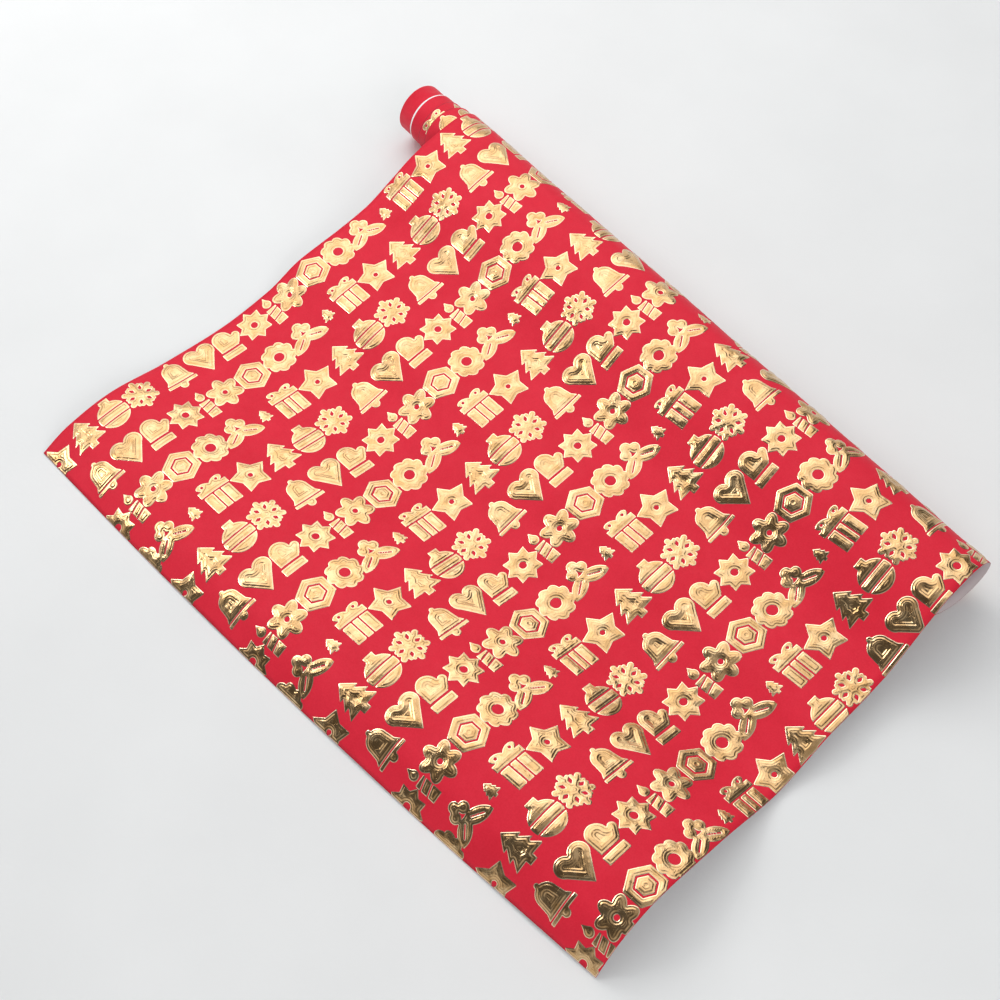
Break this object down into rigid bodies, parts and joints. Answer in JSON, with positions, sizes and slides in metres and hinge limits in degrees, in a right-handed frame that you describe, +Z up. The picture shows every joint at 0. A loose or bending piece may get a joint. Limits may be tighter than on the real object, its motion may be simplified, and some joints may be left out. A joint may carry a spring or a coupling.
{
  "type": "wrapping paper roll",
  "caption": "Short roll of foil-printed gift wrap on a cardboard core, its free end pulled out flat and its windings telescoped at one end.",
  "frame": {"origin": "on the table under the middle of the whole object's box", "axes": "+X along the roll, away from the telescoped end; +Y from the free edge to the roll; +Z up"},
  "size_m": [0.5054, 0.3466, 0.0425],
  "materials": {
    "printed_paper": "satin red printed face, matte white back",
    "gold_foil": "hot-stamped embossed gold foil, bright with a soft crinkle",
    "cardboard": "matte spiral-wound grey-brown board",
    "tape": "clear adhesive tape, satin"
  },
  "bodies": {
    "outer_paper": {"pulled_sheet": "printed_paper", "outer_winding": "printed_paper"},
    "winding_1": {"winding_1": "printed_paper"},
    "winding_2": {"winding_2": "printed_paper"},
    "winding_3": {"winding_3": "printed_paper"},
    "winding_4": {"winding_4": "printed_paper"},
    "coil": {"inner_windings": "printed_paper", "start_tape": "tape", "core_outer_ply": "cardboard", "core_middle_ply": "cardboard", "core_inner_ply": "cardboard"}
  },
  "joints": [
    {"name": "telescope_1", "type": "slide", "parent": "outer_paper", "child": "winding_1", "axis": [1, 0, 0], "range_m": [-0.01, 0.01]},
    {"name": "coil_turn", "type": "hinge", "parent": "winding_1", "child": "winding_2", "pos_m": [0, 0.15367, 0.0196], "axis": [1, 0, 0], "continuous": true},
    {"name": "telescope_3", "type": "slide", "parent": "winding_2", "child": "winding_3", "axis": [1, 0, 0], "range_m": [-0.0075, 0.0075]},
    {"name": "telescope_4", "type": "slide", "parent": "winding_3", "child": "winding_4", "axis": [1, 0, 0], "range_m": [-0.01, 0.01]},
    {"name": "telescope_core", "type": "slide", "parent": "winding_4", "child": "coil", "axis": [1, 0, 0], "range_m": [-0.012, 0.012]}
  ],
  "couplings": [
    {"joint": "telescope_3", "follows": "telescope_1", "ratio": 0.75},
    {"joint": "telescope_4", "follows": "telescope_1", "ratio": 1},
    {"joint": "telescope_core", "follows": "telescope_1", "ratio": 1.2}
  ]
}
